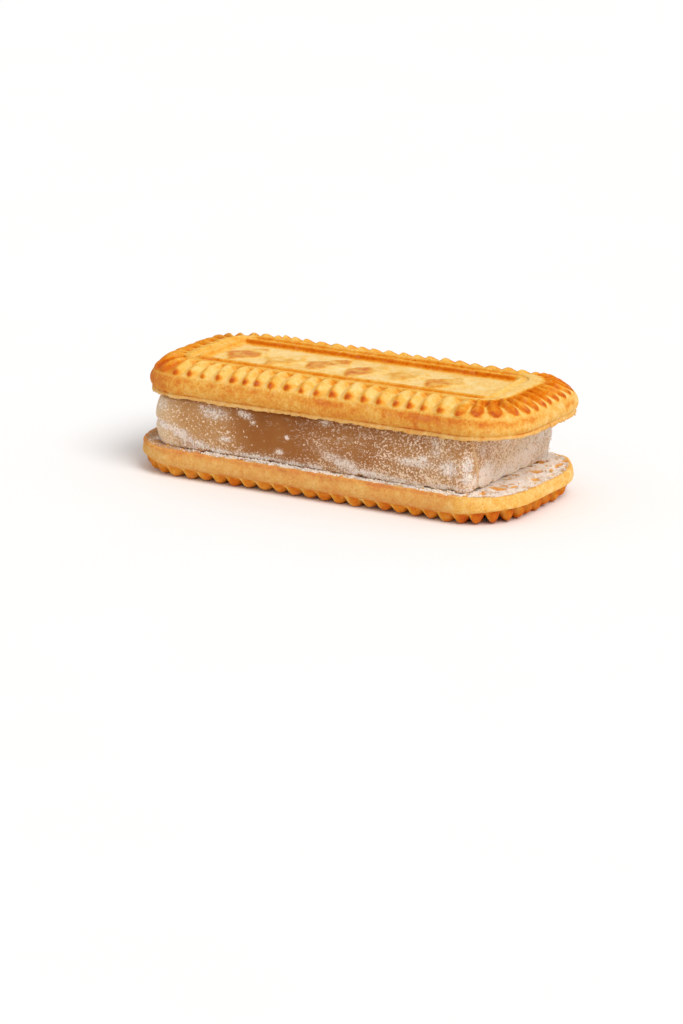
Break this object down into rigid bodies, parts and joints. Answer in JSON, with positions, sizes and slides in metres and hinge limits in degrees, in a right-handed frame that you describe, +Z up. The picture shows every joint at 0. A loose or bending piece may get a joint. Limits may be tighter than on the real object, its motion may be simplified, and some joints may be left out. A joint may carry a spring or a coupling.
{
  "type": "turkish delight sandwich biscuit",
  "caption": "Oblong sandwich biscuit: two ribbed tea biscuits with a thick slab of powder-dusted Turkish delight between them, lying flat.",
  "frame": {"origin": "middle of the footprint, on the plane that the rib crests of the lower biscuit rest on", "axes": "+X along the length, +Y across the width away from the side that the picture shows, +Z up through the layers"},
  "size_m": [0.0804, 0.0342, 0.0216],
  "materials": {
    "biscuit": "dry baked crust, golden tan, browner on the rib tips",
    "jelly": "translucent amber-brown jelly under a patchy dusting of white powder"
  },
  "bodies": {
    "root": {"biscuit_bottom": "biscuit", "filling": "jelly", "biscuit_top": "biscuit"}
  },
  "joints": []
}
